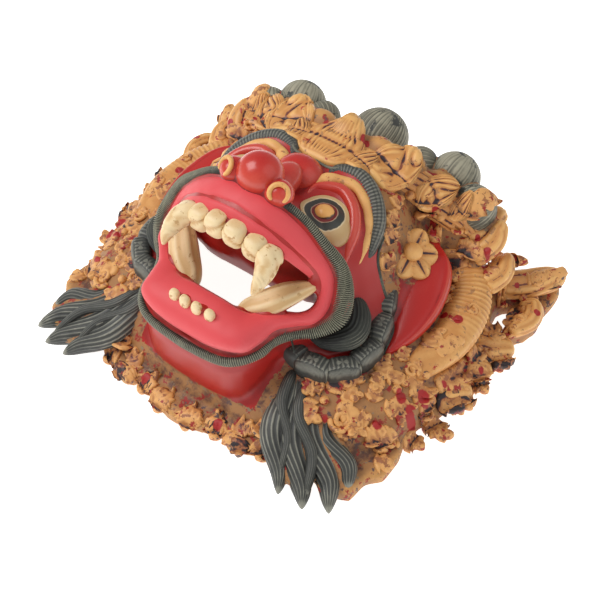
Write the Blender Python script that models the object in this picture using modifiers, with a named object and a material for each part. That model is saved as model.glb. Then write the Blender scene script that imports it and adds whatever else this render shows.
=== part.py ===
# Carved and painted wooden barong mask, lying on its flat back with the face up.
# One block of wood: the face, the open mouth with its tusks, the gilded side ornament, the hair
# buns, the beard tufts and the chin ornament are all carved from it, and the back is hollowed out.
# +X runs to the mask's left ear as worn, +Y from the chin to the crown, +Z out of the face.
# Metres. The origin is on the ground, under the middle of the mask.

import math

import bmesh
import bpy
from mathutils import Matrix, Vector

WIDTH = 0.400
HEIGHT = 0.340
DEPTH = 0.206
WALL = 0.011
RIM = 0.022
GROUND = 0.014
MOUTH_CLEARANCE = 0.002
# The chisel and the paint round off every corner and every cut by about this much.
CHISEL_ROUND = 0.0015

# The carving is drawn in 400ths of the width, 340ths of the height and 206ths of the depth, so
# a number below is a millimetre on the mask at its real size. y is 0 at the foot of the chin.
SHARES = Vector((400.0, 340.0, 206.0))
UNIT = Vector((WIDTH / SHARES.x, HEIGHT / SHARES.y, DEPTH / SHARES.z))

# Height, half width, chin side and crown side of each level of the head, from the back upwards,
# the middle that its rings go round, and the power that squares them off.
HEAD_MIDDLE = 165
HEAD_POWER = 2.5
HEAD_LEVELS = (
    (0, 150, 30, 296),
    (30, 147, 32, 295),
    (50, 130, 40, 293),
    (62, 118, 50, 291),
    (85, 101, 72, 285),
    (105, 90, 88, 272),
    (122, 82, 101, 258),
    (136, 70, 112, 246),
    (146, 52, 121, 234),
    (151, 34, 130, 216),
)
SKIRT_MIDDLE = 160
SKIRT_POWER = 3.4
SKIRT_LEVELS = (
    (0, 174, 12, 302),
    (14, 175, 12, 302),
    (28, 171, 17, 300),
    (42, 160, 30, 296),
    (52, 138, 46, 293),
)
CREST_MIDDLE = 264
CREST_POWER = 4.0
CREST_LEVELS = (
    (0, 128, 225, 300),
    (60, 126, 227, 297),
    (92, 118, 230, 293),
    (106, 100, 236, 284),
)
CHIN_MIDDLE = 80
CHIN_POWER = 4.0
CHIN_LEVELS = (
    (0, 55, 20, 130),
    (12, 57, 19, 130),
    (45, 60, 13, 130),
    (70, 60, 12, 125),
    (83, 58, 17, 120),
    (89, 52, 26, 110),
)

# The lips' outer and inner edge on one side, from the middle of the lower lip round the corner
# of the mouth to the middle of the upper lip, and the foot of the muzzle behind each point.
LIP_OUTER = (
    (0, 16, 90), (20, 16, 91), (38, 18, 94), (53, 25, 96), (58, 40, 97),
    (61, 56, 98), (70, 68, 98), (81, 80, 98), (85, 94, 103), (83, 105, 118),
    (77, 110, 133), (62, 109, 152), (44, 109, 167), (22, 105, 180), (0, 104, 183),
)
LIP_INNER = (
    (0, 46, 115), (15, 47, 114), (28, 48, 111), (38, 52, 108), (42, 60, 106),
    (48, 68, 104), (57, 75, 102), (66, 82, 101), (71, 92, 102), (70, 98, 111),
    (66, 97, 124), (56, 88, 142), (41, 80, 157), (22, 77, 166), (0, 77, 170),
)
MUZZLE_FOOT = (
    (0, 30, 60), (22, 30, 60), (42, 32, 62), (56, 40, 64), (61, 52, 66),
    (66, 64, 68), (76, 76, 68), (88, 86, 70), (94, 98, 76), (92, 112, 88),
    (86, 122, 102), (72, 136, 124), (52, 142, 140), (26, 148, 150), (0, 150, 152),
)
# The way the open mouth faces, and how far the upper and the lower lip swell that way.
MOUTH_FACING = (0, -0.62, 0.78)
UPPER_SWELL = 5
LOWER_SWELL = 21
LIP_TOP = 150
# The jaws stop inside the lips, close on the throat, and run down into the middle of the head.
JAW_TUCK = 0.15
THROAT = (0, 85, 90)
JAW_HEART = (0, 130, 50)
JAW_DEPTH = 0.4
# The mouth opens out in front of the lips, and falls back to the hollow behind the face: its
# deep end is the lips' loop in these shares, moved by these.
MOUTH_REACH = 50
DEEP_SHARES = (0.95, 0.62, 0.10)
DEEP_MOVE = (0, 52, 50)

# Half of the ground's outline, from the chin to the crown: the chin arc, the square block beside
# it, the corner behind the beard tuft, the side edge and the top of the ear.
GROUND_OUTLINE = (
    (0, -13), (12, -12), (24, -9), (36, -3), (46, 5), (49, -4), (60, -9), (84, 4), (87, 15),
    (112, 14), (150, 6), (166, 12), (168, 34), (178, 44), (177, 68), (170, 88), (173, 106),
    (181, 124), (184, 142), (182, 160), (184, 188), (184, 212), (187, 226), (197, 240),
    (200, 256), (196, 274), (198, 290), (196, 306), (192, 312), (184, 304), (166, 290),
    (148, 276), (120, 290), (70, 300), (0, 302),
)
EAR_HOLE = (
    (169, 222), (163, 236), (162, 252), (168, 262), (176, 262), (183, 253), (177, 247),
    (174, 238), (179, 224),
)

# Carved limbs: places along the middle, each with its half width and half height there.
MOUSTACHE = (
    (-24, 108, 181, 4, 4), (0, 107, 184, 4, 4), (24, 108, 181, 4, 4), (46, 113, 167, 5, 5),
    (65, 114, 150, 6, 6), (81, 115, 131, 7, 7), (90, 107, 114, 8, 7), (92, 95, 99, 8, 7),
    (83, 81, 92, 6, 6), (70, 67, 90, 4, 5), (62, 52, 90, 4, 4), (60, 36, 89, 4, 4),
    (50, 21, 87, 4, 4), (32, 14, 84, 4, 4), (0, 12, 82, 4, 4), (-30, 14, 84, 4, 4),
)
CHEEK_PAD = ((80, 126, 92, 4, 5), (91, 114, 85, 12, 8), (97, 98, 76, 12, 8), (86, 84, 76, 4, 5))
BROW = (
    (18, 176, 149, 3, 4), (24, 191, 149, 6, 6), (42, 194, 148, 7, 7), (60, 186, 141, 7, 7),
    (72, 174, 130, 7, 7), (77, 160, 118, 5, 7), (80, 146, 111, 2, 4),
)
LID = (
    (20, 150, 150, 2, 4), (23, 163, 151, 4, 5), (40, 171, 151, 5, 6), (56, 165, 146, 5, 6),
    (66, 153, 137, 5, 6), (70, 140, 128, 4, 5), (74, 128, 117, 2, 4),
)
EAR = (
    (126, 122, 54, 3, 5), (126, 148, 60, 11, 7), (121, 176, 68, 17, 8), (110, 206, 76, 18, 8),
    (94, 236, 82, 4, 5),
)
HORN = (
    (104, 262, 66, 6, 6), (124, 248, 58, 12, 9), (144, 224, 52, 16, 10), (154, 196, 48, 18, 11),
    (156, 168, 45, 18, 11), (149, 142, 42, 17, 10), (138, 118, 38, 14, 9), (126, 100, 36, 6, 6),
)
CROWN = (
    (-40, 232, 133, 18, 14), (0, 226, 136, 20, 14), (34, 232, 132, 19, 14), (62, 242, 122, 18, 14),
    (88, 250, 106, 17, 14), (108, 256, 92, 15, 13), (122, 258, 80, 8, 9), (128, 258, 72, 3, 4),
)
EARDROP = ((77, 222, 97, 5, 5), (75, 234, 100, 11, 8), (73, 252, 102, 9, 7), (72, 276, 104, 2, 3))
CHIN_ROLL = ((-60, 46, 24, 5, 6), (-42, 27, 20, 6, 7), (0, 17, 18, 6, 7), (42, 27, 20, 6, 7),
             (60, 46, 24, 5, 6))
LOWER_TUSK = (
    (27, 57, 97, 8, 7), (41, 66, 107, 12, 9), (54, 79, 116, 11, 7), (66, 92, 121, 6, 5),
    (73, 99, 122, 2, 2),
)
CANINE = (
    (39, 80, 150, 11, 9), (41, 74, 156, 10, 8), (45, 64, 152, 8, 7), (46, 54, 146, 5, 5),
    (45, 46, 139, 2, 2),
)
TUFT = (
    ((70, 70, 50, 5, 6), (74, 54, 44, 9, 9), (86, 28, 34, 12, 10), (100, 6, 21, 10, 9),
     (111, -9, 14, 6, 7), (119, -20, 10, 2, 3)),
    ((78, 66, 48, 5, 6), (88, 46, 40, 10, 9), (108, 20, 26, 12, 10), (124, 0, 15, 9, 9),
     (134, -10, 11, 6, 7), (142, -19, 9, 2, 3)),
    ((88, 60, 44, 5, 6), (104, 42, 34, 10, 9), (128, 24, 22, 12, 10), (144, 10, 14, 9, 9),
     (153, 0, 11, 6, 7), (161, -9, 8, 2, 3)),
    ((104, 54, 38, 4, 5), (126, 40, 28, 8, 8), (148, 28, 19, 8, 8), (162, 16, 12, 4, 5)),
)
FLAMES = (
    ((164, 200, 20, 12, 9), (182, 208, 17, 13, 9), (194, 213, 15, 9, 7), (199, 215, 14, 4, 4)),
    ((162, 172, 20, 12, 9), (178, 178, 17, 12, 9), (189, 182, 14, 8, 7), (195, 184, 13, 4, 4)),
    ((162, 140, 20, 12, 9), (178, 148, 17, 12, 9), (188, 152, 15, 8, 7), (193, 154, 14, 4, 4)),
    ((150, 262, 26, 12, 10), (172, 284, 26, 13, 10), (188, 300, 29, 10, 9), (195, 311, 31, 4, 5)),
    ((186, 228, 20, 6, 6), (193, 250, 20, 8, 8), (188, 266, 20, 7, 8), (176, 262, 20, 3, 5)),
    ((112, 254, 78, 16, 12), (122, 272, 82, 15, 10), (129, 287, 84, 10, 8), (131, 296, 83, 4, 4)),
    ((128, 246, 66, 13, 10), (138, 260, 78, 12, 9), (140, 271, 87, 8, 7), (139, 277, 93, 3, 3)),
    ((148, 236, 50, 12, 10), (155, 252, 56, 11, 9), (155, 263, 61, 8, 7), (153, 272, 64, 3, 3)),
)

# Balls: centre and radii.
NOSE = ((0, 117, 188), (19, 18, 18))
BETWEEN_BROWS = ((0, 169, 150), (17, 17, 16))
NOSTRIL = ((22, 112, 184), (12, 11, 10))
EYEBALL = ((44, 143, 132), (24, 23, 21))
PUPIL = ((44.6, 141.2, 150.6), (8.2, 8.4, 5.3))
UPPER_TEETH = (((9, 74, 163), (9, 9, 10)), ((27, 75, 158), (9, 9, 10)))
LOWER_TEETH = (((9, 26, 117), (4, 3, 5)), ((24, 29, 112), (4, 3, 5)))
BUNS = (
    ((0, 291, 107), (26, 24, 25)),
    ((53, 276, 112), (15, 15, 15)),
    ((84, 285, 107), (22, 21, 22)),
    ((112, 270, 96), (21, 20, 22)),
)
CROWN_LEAVES = (
    ((0, 238, 143), (20, 12, 14)),
    ((31, 243, 139), (17, 12, 14)),
    ((57, 252, 129), (16, 12, 14)),
    ((81, 260, 115), (15, 12, 14)),
    ((104, 266, 99), (14, 12, 13)),
)

# The fringe of carved blocks round the cheek: places along it, block radii and turn in plan.
CHEEK_BLOCKS = (
    ((66, 72, 62), -10),
    ((88, 70, 60), 10),
    ((107, 82, 58), 45),
    ((114, 104, 60), 80),
    ((110, 129, 64), 105),
    ((99, 154, 69), 118),
    ((84, 174, 77), 125),
)
BLOCK_RADII = (14, 9, 10)

# The rosette at the temple: its place, the way it faces, its petals, and the radius, depth of the
# cuts between the petals and height over its place of each ring from its root to its middle.
ROSETTE_PLACE = (93, 197, 86)
ROSETTE_FACING = (0.5, -0.15, 0.84)
ROSETTE_PETALS = 6
ROSETTE_RINGS = (
    (16, 0.02, -9), (20, 0.10, 1), (22, 0.16, 5), (18, 0.12, 8), (10, 0.04, 6), (7, 0.02, 9),
    (4, 0.01, 12),
)

# How finely the forms are drawn, and how many facets the finished carving keeps.
RING_POINTS = 36
LIMB_SIDES = 8
LIMB_STEPS = 3
KEPT_FACETS = 6300
# Points nearer than this to the ground or to the middle are set right onto it.
PLANED = 0.0003
SEAM = 0.0002


def at(point):
    """A place on the carving, from its shares of the width, height and depth."""
    return Vector((point[0] * UNIT.x, point[1] * UNIT.y, point[2] * UNIT.z))


def mirrored(half):
    """A closed loop from one side's points, whose first and last lie on the middle."""
    other = [(-p[0],) + tuple(p[1:]) for p in reversed(half[1:-1])]
    return list(half) + other


def new_object(name, bm, collection):
    mesh = bpy.data.meshes.new(name)
    bmesh.ops.recalc_face_normals(bm, faces=bm.faces[:])
    bm.to_mesh(mesh)
    bm.free()
    made = bpy.data.objects.new(name, mesh)
    collection.objects.link(made)
    return made


def loft(name, rings):
    """A closed form through rings of places; a ring of one place is a point."""
    bm = bmesh.new()
    rows = [[bm.verts.new(place) for place in ring] for ring in rings]
    for row, after in zip(rows, rows[1:]):
        count = max(len(row), len(after))
        for i in range(count):
            j = (i + 1) % count
            corners = [row[i % len(row)], row[j % len(row)]]
            corners += [after[j % len(after)], after[i % len(after)]]
            bm.faces.new(list(dict.fromkeys(corners)))
    for row in (rows[0], rows[-1]):
        if len(row) > 2:
            bm.faces.new(row)
    return new_object(name, bm, forms)


def level_ring(level, middle, power, drawn_in=0.0, drop=0.0):
    """A rounded square ring at one level, drawn in all round and dropped by metres."""
    height, half, chin, crown = level
    ring = []
    for i in range(RING_POINTS):
        turn = 2 * math.pi * (i + 0.5) / RING_POINTS
        along = math.copysign(abs(math.cos(turn)) ** (2 / power), math.cos(turn))
        across = math.copysign(abs(math.sin(turn)) ** (2 / power), math.sin(turn))
        reach = (crown - middle) if across > 0 else (middle - chin)
        place = at((half, middle, height))
        x = (place.x - drawn_in) * along
        y = place.y + (reach * UNIT.y - drawn_in) * across
        ring.append(Vector((x, y, place.z - drop)))
    return ring


def block(name, levels, middle, power):
    """A form through its levels, which runs on down below the ground, where it is sawn off."""
    rings = [level_ring(level, middle, power) for level in levels]
    foot = [Vector((place.x, place.y, -GROUND)) for place in rings[0]]
    return loft(name, [foot] + rings)


def hollow(name, levels, middle, power, side_wall):
    """The space inside a form: its levels drawn in by the side wall, under a roof of WALL."""
    rings = [level_ring(level, middle, power, side_wall, WALL) for level in levels[1:]]
    foot = [Vector((place.x, place.y, -2 * GROUND)) for place in rings[0]]
    return loft(name, [foot] + rings)


def spline(points, steps):
    """A smooth run through the points, with steps places between each two."""
    run = []
    last = len(points) - 1
    for i in range(last):
        four = [points[max(i - 1, 0)], points[i], points[i + 1], points[min(i + 2, last)]]
        for k in range(steps):
            t = k / steps
            weights = (
                -0.5 * t + t * t - 0.5 * t ** 3,
                1 - 2.5 * t * t + 1.5 * t ** 3,
                0.5 * t + 2 * t * t - 1.5 * t ** 3,
                -0.5 * t * t + 0.5 * t ** 3,
            )
            run.append([sum(w * p[n] for w, p in zip(weights, four)) for n in range(len(four[0]))])
    run.append(list(points[-1]))
    return run


def limb(name, points, up=(0, 0, 1)):
    """A form of oval sections along a path, such as a lock, a tusk or a fringe."""
    run = spline(points, LIMB_STEPS)
    rings = []
    for i, place in enumerate(run):
        before = Vector(run[max(i - 1, 0)][:3])
        after = Vector(run[min(i + 1, len(run) - 1)][:3])
        ahead = (after - before).normalized()
        side = ahead.cross(Vector(up)).normalized()
        top = side.cross(ahead)
        ring = []
        for k in range(LIMB_SIDES):
            turn = 2 * math.pi * (k + 0.5) / LIMB_SIDES
            out = side * math.cos(turn) * place[3] + top * math.sin(turn) * place[4]
            ring.append(at(Vector(place[:3]) + out))
        rings.append(ring)
    return loft(name, rings)


def ball(name, centre, radii, turn=0.0, segments=16, rings=10):
    """An oval ball, turned about the vertical."""
    bm = bmesh.new()
    bmesh.ops.create_uvsphere(bm, u_segments=segments, v_segments=rings, radius=1)
    pose = Matrix.Rotation(math.radians(turn), 4, "Z")
    for vert in bm.verts:
        grown = Vector((vert.co.x * radii[0], vert.co.y * radii[1], vert.co.z * radii[2]))
        vert.co = at(Vector(centre) + pose @ grown)
    return new_object(name, bm, forms)


def rosette():
    """A round flower whose petals are parted by cuts."""
    lean = Vector((0, 0, 1)).rotation_difference(Vector(ROSETTE_FACING))
    rings = []
    for radius, cut, height in ROSETTE_RINGS:
        ring = []
        for i in range(ROSETTE_PETALS * 4):
            turn = 2 * math.pi * i / (ROSETTE_PETALS * 4)
            reach = radius * (1 + cut * math.cos(ROSETTE_PETALS * turn))
            flat = Vector((reach * math.cos(turn), reach * math.sin(turn), height))
            ring.append(at(Vector(ROSETTE_PLACE) + lean @ flat))
        rings.append(ring)
    return loft("rosette", rings)


def flat_form(name, outline, low, high):
    """A flat form with this outline in metres, between two heights."""
    curve = bpy.data.curves.new(name, "CURVE")
    curve.dimensions = "2D"
    curve.fill_mode = "BOTH"
    curve.extrude = (high - low) / 2
    edge = curve.splines.new("POLY")
    edge.points.add(len(outline) - 1)
    for point, place in zip(edge.points, outline):
        point.co = (place[0], place[1], 0, 1)
    edge.use_cyclic_u = True
    drawn = bpy.data.objects.new(name + "_outline", curve)
    forms.objects.link(drawn)
    bpy.context.view_layer.update()
    graph = bpy.context.evaluated_depsgraph_get()
    mesh = bpy.data.meshes.new_from_object(drawn.evaluated_get(graph))
    bpy.data.objects.remove(drawn)
    bm = bmesh.new()
    bm.from_mesh(mesh)
    bmesh.ops.remove_doubles(bm, verts=bm.verts[:], dist=0.00001)
    bmesh.ops.translate(bm, verts=bm.verts[:], vec=(0, 0, (low + high) / 2))
    return new_object(name, bm, forms)


def plan(outline):
    """Places in metres of a flat outline that is given in shares."""
    return [(x * UNIT.x, y * UNIT.y) for x, y in outline]


def settle(base):
    """Turns what the base's modifiers make into its own mesh."""
    bpy.context.view_layer.update()
    graph = bpy.context.evaluated_depsgraph_get()
    result = bpy.data.meshes.new_from_object(base.evaluated_get(graph))
    base.modifiers.clear()
    old = base.data
    base.data = result
    bpy.data.meshes.remove(old)


def melt_together(base, others):
    """Makes one body of the base and the forms that are set into it, with every corner rounded."""
    bm = bmesh.new()
    bm.from_mesh(base.data)
    for form in others:
        bm.from_mesh(form.data)
        bpy.data.objects.remove(form)
    bm.to_mesh(base.data)
    bm.free()
    rounded = base.modifiers.new("rounded", "REMESH")
    rounded.mode = "VOXEL"
    rounded.voxel_size = CHISEL_ROUND
    rounded.adaptivity = 0.0
    soft = base.modifiers.new("soft", "SMOOTH")
    soft.factor = 0.5
    soft.iterations = 2
    settle(base)


def cut(base, form):
    """Cuts a form away from the base, and takes the form out of the scene."""
    change = base.modifiers.new(form.name, "BOOLEAN")
    change.operation = "DIFFERENCE"
    change.solver = "EXACT"
    change.object = form
    settle(base)
    bpy.data.objects.remove(form)


def fewer_facets(base):
    """Keeps the facets that the form needs, and sets the underside and the middle true."""
    kept = base.modifiers.new("kept", "DECIMATE")
    kept.ratio = KEPT_FACETS / (2 * len(base.data.polygons))
    settle(base)
    for vert in base.data.vertices:
        if abs(vert.co.x) < PLANED:
            vert.co.x = 0
        if abs(vert.co.z) < PLANED:
            vert.co.z = 0


def keep_one_side(base):
    """Cuts the carving at the middle, with a clean open edge there."""
    bm = bmesh.new()
    bm.from_mesh(base.data)
    bmesh.ops.remove_doubles(bm, verts=bm.verts[:], dist=SEAM / 10)
    bmesh.ops.bisect_plane(bm, geom=bm.verts[:] + bm.edges[:] + bm.faces[:], dist=SEAM / 10,
                           plane_co=(0, 0, 0), plane_no=(1, 0, 0), clear_inner=True)
    edge = [vert for vert in bm.verts if abs(vert.co.x) < SEAM]
    for vert in edge:
        vert.co.x = 0
    bmesh.ops.remove_doubles(bm, verts=edge, dist=SEAM)
    bmesh.ops.dissolve_degenerate(bm, edges=bm.edges[:], dist=SEAM / 10)
    flat = [face for face in bm.faces if all(abs(v.co.x) < SEAM / 2 for v in face.verts)]
    bmesh.ops.delete(bm, geom=flat, context="FACES")
    bmesh.ops.triangulate(bm, faces=bm.faces[:])
    bm.to_mesh(base.data)
    bm.free()


def lip_edges():
    """The lips' outer and inner edge round the mouth, and the way that the mouth faces."""
    outer = [at(p) for p in mirrored(LIP_OUTER)]
    inner = [at(p) for p in mirrored(LIP_INNER)]
    return outer, inner, Vector(MOUTH_FACING).normalized()


def lips():
    """The two lips as one closed band round the mouth, swollen along the middle."""
    outer, inner, out = lip_edges()
    bm = bmesh.new()
    rows = []
    for a, b in zip(outer, inner):
        lower = max(0.0, 1.0 - a.z / at((0, 0, LIP_TOP)).z)
        swell = (UPPER_SWELL + (LOWER_SWELL - UPPER_SWELL) * lower) * UNIT.z
        section = (
            a,
            a.lerp(b, 0.3) + out * swell,
            a.lerp(b, 0.7) + out * swell,
            b,
            b - out * WALL,
            a - out * WALL,
        )
        rows.append([bm.verts.new(p) for p in section])
    for i, row in enumerate(rows):
        after = rows[(i + 1) % len(rows)]
        for k in range(len(row)):
            m = (k + 1) % len(row)
            bm.faces.new((row[k], row[m], after[m], after[k]))
    return new_object("lips", bm, forms)


def muzzle():
    """The jaws behind the lips, drawn in to a funnel where the mouth opens."""
    outer, inner, out = lip_edges()
    tucked = [a.lerp(b, JAW_TUCK) - out * WALL / 3 for a, b in zip(outer, inner)]
    foot = [at(p) for p in mirrored(MUZZLE_FOOT)]
    buried = [p.lerp(at(JAW_HEART), JAW_DEPTH) for p in foot]
    return loft("muzzle", [[at(THROAT)], tucked, foot, buried])


def mouth_cutter():
    """The mouth's opening, from in front of the lips through to the hollow back."""
    outer, inner, out = lip_edges()
    middle = sum(inner, Vector()) / len(inner)
    clear = [b + (b - middle).normalized() * MOUTH_CLEARANCE for b in inner]
    front = [b + out * at((0, 0, MOUTH_REACH)).z for b in clear]
    shares = Vector(DEEP_SHARES)
    deep = [Vector((p.x * shares.x, p.y * shares.y, p.z * shares.z)) + at(DEEP_MOVE)
            for p in clear]
    return loft("mouth", [front, clear, deep])


for old in list(bpy.data.objects):
    bpy.data.objects.remove(old)
product = bpy.data.collections.new("barong_mask")
forms = bpy.data.collections.new("carving_forms")
bpy.context.scene.collection.children.link(product)
bpy.context.scene.collection.children.link(forms)

# The block of wood: head, side skirt, chin and muzzle, standing on the ground that carries the
# side ornament, with the large carving on it.
mask = block("head", HEAD_LEVELS, HEAD_MIDDLE, HEAD_POWER)
large = [
    block("skirt", SKIRT_LEVELS, SKIRT_MIDDLE, SKIRT_POWER),
    block("chin", CHIN_LEVELS, CHIN_MIDDLE, CHIN_POWER),
    block("crest", CREST_LEVELS, CREST_MIDDLE, CREST_POWER),
    muzzle(),
    flat_form("ground", plan(mirrored(GROUND_OUTLINE)), -GROUND, GROUND),
    rosette(),
]
for points in (CROWN, HORN, EAR, CHIN_ROLL, CHEEK_PAD, EARDROP) + TUFT + FLAMES:
    large.append(limb("limb", points))
for centre, radii in BUNS + CROWN_LEAVES + (EYEBALL, NOSE, BETWEEN_BROWS, NOSTRIL):
    large.append(ball("ball", centre, radii))
for centre, turn in CHEEK_BLOCKS:
    large.append(ball("cheek_block", centre, BLOCK_RADII, turn))
melt_together(mask, large)

# The block is hollowed from the back and opened at the mouth and behind the ears.
cut(mask, hollow("head_hollow", HEAD_LEVELS, HEAD_MIDDLE, HEAD_POWER, WALL))
cut(mask, hollow("side_hollow", SKIRT_LEVELS, SKIRT_MIDDLE, SKIRT_POWER, RIM))
cut(mask, hollow("jaw_hollow", CHIN_LEVELS, CHIN_MIDDLE, CHIN_POWER, WALL))
cut(mask, mouth_cutter())
cut(mask, flat_form("ear_hole", plan(EAR_HOLE), -2 * GROUND, DEPTH))

# The lips close over the edge of the opening, and the small carving goes on last.
small = [lips(), limb("moustache", MOUSTACHE, MOUTH_FACING)]
for points in (BROW, LID, LOWER_TUSK, CANINE):
    small.append(limb("limb", points))
for centre, radii in UPPER_TEETH + LOWER_TEETH + (PUPIL,):
    small.append(ball("ball", centre, radii))
melt_together(mask, small)

# The back is sawn flat. The carving is drawn on one side only, and the other side is its mirror
# image.
mask.name = "mask"
forms.objects.unlink(mask)
product.objects.link(mask)
fewer_facets(mask)
sawn_off = ((-WIDTH, -HEIGHT), (WIDTH, -HEIGHT), (WIDTH, 2 * HEIGHT), (-WIDTH, 2 * HEIGHT))
cut(mask, flat_form("sawn_off", sawn_off, -DEPTH, 0.0))
keep_one_side(mask)
halves = mask.modifiers.new("halves", "MIRROR")
halves.use_clip = True
halves.merge_threshold = SEAM / 4

# The origin goes to the middle of the mask's outline, on the ground.
ys = [vert.co.y for vert in mask.data.vertices]
mask.data.transform(Matrix.Translation((0, -(min(ys) + max(ys)) / 2, 0)))
for face in mask.data.polygons:
    face.use_smooth = True
mask.data.set_sharp_from_angle(angle=math.radians(40))

wood = bpy.data.materials.new("painted_wood")
wood.use_nodes = True
surface = wood.node_tree.nodes["Principled BSDF"]
surface.inputs["Base Color"].default_value = (0.55, 0.16, 0.08, 1)
surface.inputs["Roughness"].default_value = 0.6
surface.inputs["Metallic"].default_value = 0.0
mask.data.materials.clear()
mask.data.materials.append(wood)
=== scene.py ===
# The looks of a carved and painted barong mask, lying face up on a studio floor.

import math

import bmesh
import bpy
import numpy as np
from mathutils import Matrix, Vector
from mathutils.bvhtree import BVHTree


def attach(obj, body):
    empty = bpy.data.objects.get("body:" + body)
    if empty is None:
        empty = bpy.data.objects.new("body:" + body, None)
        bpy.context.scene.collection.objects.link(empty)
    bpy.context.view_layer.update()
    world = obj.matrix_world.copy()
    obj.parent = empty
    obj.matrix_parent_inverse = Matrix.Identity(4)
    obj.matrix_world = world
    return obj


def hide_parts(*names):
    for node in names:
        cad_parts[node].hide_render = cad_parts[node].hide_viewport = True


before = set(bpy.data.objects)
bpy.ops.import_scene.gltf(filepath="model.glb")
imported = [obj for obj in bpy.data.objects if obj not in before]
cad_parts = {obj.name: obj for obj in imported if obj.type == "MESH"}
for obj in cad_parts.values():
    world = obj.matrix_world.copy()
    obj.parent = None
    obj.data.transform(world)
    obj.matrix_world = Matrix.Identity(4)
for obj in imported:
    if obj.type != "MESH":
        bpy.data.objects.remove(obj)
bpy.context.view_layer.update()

# Everything carved is given in millimetres: out from the middle of the face, up from the foot of
# the chin towards the crown, and above the floor that the mask's flat back lies on.
MM = 0.001
CHIN_TO_MIDDLE = 147.2


def spots(points):
    """Places in the frame, in metres, of places on the carving in millimetres."""
    return (np.asarray(points, float) - (0.0, CHIN_TO_MIDDLE, 0.0)) * MM


def linear(code):
    """The linear colour of an sRGB hex value."""
    parts = [int(code[i:i + 2], 16) / 255 for i in (1, 3, 5)]
    return [p / 12.92 if p <= 0.04045 else ((p + 0.055) / 1.055) ** 2.4 for p in parts] + [1.0]


def node(tree, kind, links=None, **settings):
    """Adds a shader node with its settings and with what goes into its sockets."""
    made = tree.nodes.new("ShaderNode" + kind)
    for name, value in settings.items():
        setattr(made, name, value)
    for socket, value in (links or {}).items():
        if isinstance(value, bpy.types.NodeSocket):
            tree.links.new(value, made.inputs[socket])
        else:
            made.inputs[socket].default_value = value
    return made


# The camera looks down on the mask from beyond the left side of its chin, through a lens of
# about twice the normal length, as a shop's product photograph is taken.
EYE = (420.9, -395.2, 797.3)
AIM = (4.84, 162.2, 0.0)
LENS = 68.67
camera = bpy.data.objects.new("camera", bpy.data.cameras.new("camera"))
camera.data.lens = LENS
camera.data.sensor_width = 36.0
camera.location = spots(EYE)
camera.rotation_mode = "QUATERNION"
camera.rotation_quaternion = Vector(spots(AIM) - spots(EYE)).to_track_quat("-Z", "Y")
bpy.context.scene.collection.objects.link(camera)
bpy.context.scene.camera = camera


def soft_box(name, size, power, place):
    """A square soft box that shines on the mask from a place in metres."""
    box = bpy.data.objects.new(name, bpy.data.lights.new(name, "AREA"))
    box.data.size = size
    box.data.energy = power
    box.location = place
    box.rotation_mode = "QUATERNION"
    box.rotation_quaternion = (-Vector(place)).to_track_quat("-Z", "Y")
    bpy.context.scene.collection.objects.link(box)


# The studio: a white table top lit from below, a white background, a large soft box over the
# chin, and a weaker one from the crown's side.
soft_box("key_box", 0.9, 15.0, (-0.75, -0.55, 1.3))
soft_box("fill_box", 1.6, 5.0, (1.2, 0.2, 1.3))
bm = bmesh.new()
bmesh.ops.create_grid(bm, x_segments=1, y_segments=1, size=6.0)
floor = bpy.data.objects.new("floor", bpy.data.meshes.new("floor"))
bm.to_mesh(floor.data)
bm.free()
bpy.context.scene.collection.objects.link(floor)
paper = bpy.data.materials.new("white_light_table")
paper.use_nodes = True
paper.node_tree.nodes["Principled BSDF"].inputs["Base Color"].default_value = linear("#F6F6F4")
paper.node_tree.nodes["Principled BSDF"].inputs["Roughness"].default_value = 0.9
paper.node_tree.nodes["Principled BSDF"].inputs["Emission Color"].default_value = (1, 1, 1, 1)
paper.node_tree.nodes["Principled BSDF"].inputs["Emission Strength"].default_value = 0.9
floor.data.materials.append(paper)
sky = bpy.data.worlds.new("studio")
sky.use_nodes = True
sky.node_tree.nodes["Background"].inputs["Color"].default_value = (1, 1, 1, 1)
sky.node_tree.nodes["Background"].inputs["Strength"].default_value = 0.42
bpy.context.scene.world = sky
bpy.context.scene.view_settings.view_transform = "Standard"


# The block: one piece of light wood, carved in the round on the front and hollowed from the
# back. The face is painted red, the ornament round it gold over a red ground, and the hollow
# and the flat back are bare wood gone brown.
GRAIN_OF_BLOCK = 0.0028
RED_PLAN = (
    (0, 8), (44, 8), (60, 14), (66, 60), (72, 64), (100, 66), (122, 96), (122, 130), (112, 146),
    (94, 154), (86, 160), (81, 176), (72, 187), (60, 193), (44, 199), (30, 199), (20, 188),
    (0, 187),
)
EAR_PLAN = ((92, 240), (116, 223), (129, 204), (133, 186), (133, 158), (129, 122), (118, 138),
            (105, 168), (92, 188))
# The red stops this high over the floor: higher at the chin, up to this far from its foot.
CHIN_RED_FOOT, FACE_RED_FOOT, CHIN_REACH = 31, 21, 30
# The gold bed of the rosette in the red ear, and the hollow of the back in plan and in height.
ROSETTE_BED = (95, 197, 25)
HOLLOW_MIDDLE = np.array((0, 150))
HOLLOW_TOP = 128


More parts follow.
